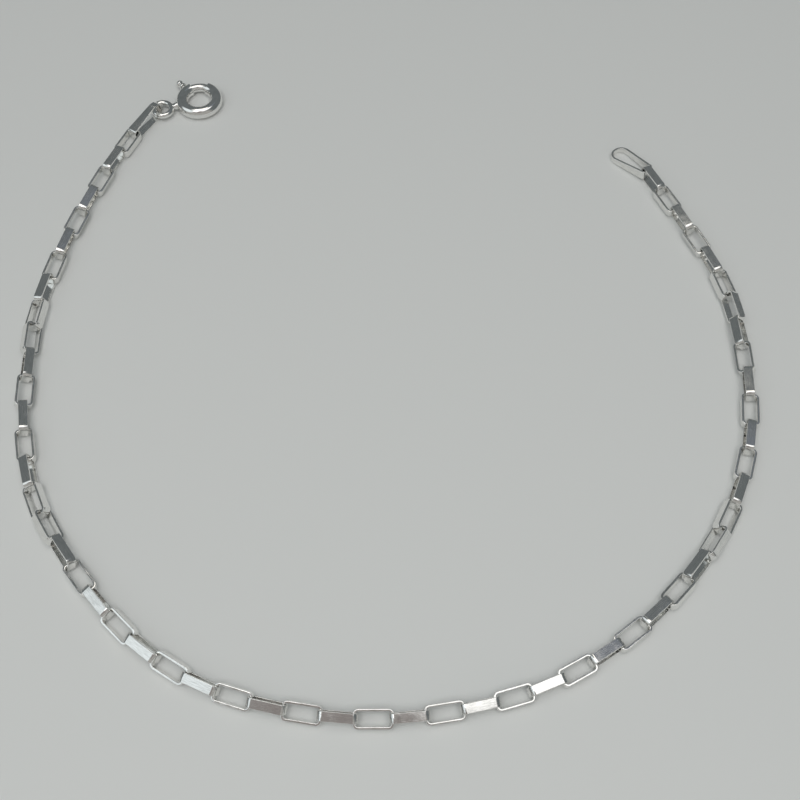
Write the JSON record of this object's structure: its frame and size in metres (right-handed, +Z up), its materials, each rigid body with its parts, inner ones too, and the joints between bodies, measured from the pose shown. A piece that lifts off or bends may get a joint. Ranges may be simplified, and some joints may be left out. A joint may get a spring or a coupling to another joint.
{
  "type": "chain bracelet",
  "caption": "Fine silver chain bracelet of flat-strip rectangular links, lying open in a loop, with a tapered end loop at each end and a spring ring clasp with a sliding gate.",
  "frame": {"origin": "middle of the bracelet's box, on the table that it lies on", "axes": "+Z up from the table, +Y towards the gap between the chain's two ends"},
  "size_m": [0.0738, 0.0746, 0.0022],
  "materials": {
    "chain_silver": "polished silver strip with fine scratches",
    "clasp_loop_silver": "polished silver strip",
    "catch_loop_silver": "polished silver strip",
    "ring_silver": "polished silver tube",
    "trigger_silver": "polished silver wire and turned knob"
  },
  "bodies": {
    "bracelet": {"chain": "chain_silver", "clasp_end_loop": "clasp_loop_silver", "catch_end_loop": "catch_loop_silver", "spring_ring": "ring_silver"},
    "trigger": {"spring_ring_trigger": "trigger_silver"}
  },
  "joints": [
    {"name": "trigger_pull", "type": "hinge", "parent": "bracelet", "child": "trigger", "pos_m": [-0.02279, 0.03445, 0.0007], "axis": [0, 0, 1], "range_deg": [0, 34], "stiffness_Nm_per_rad": 0.002}
  ]
}
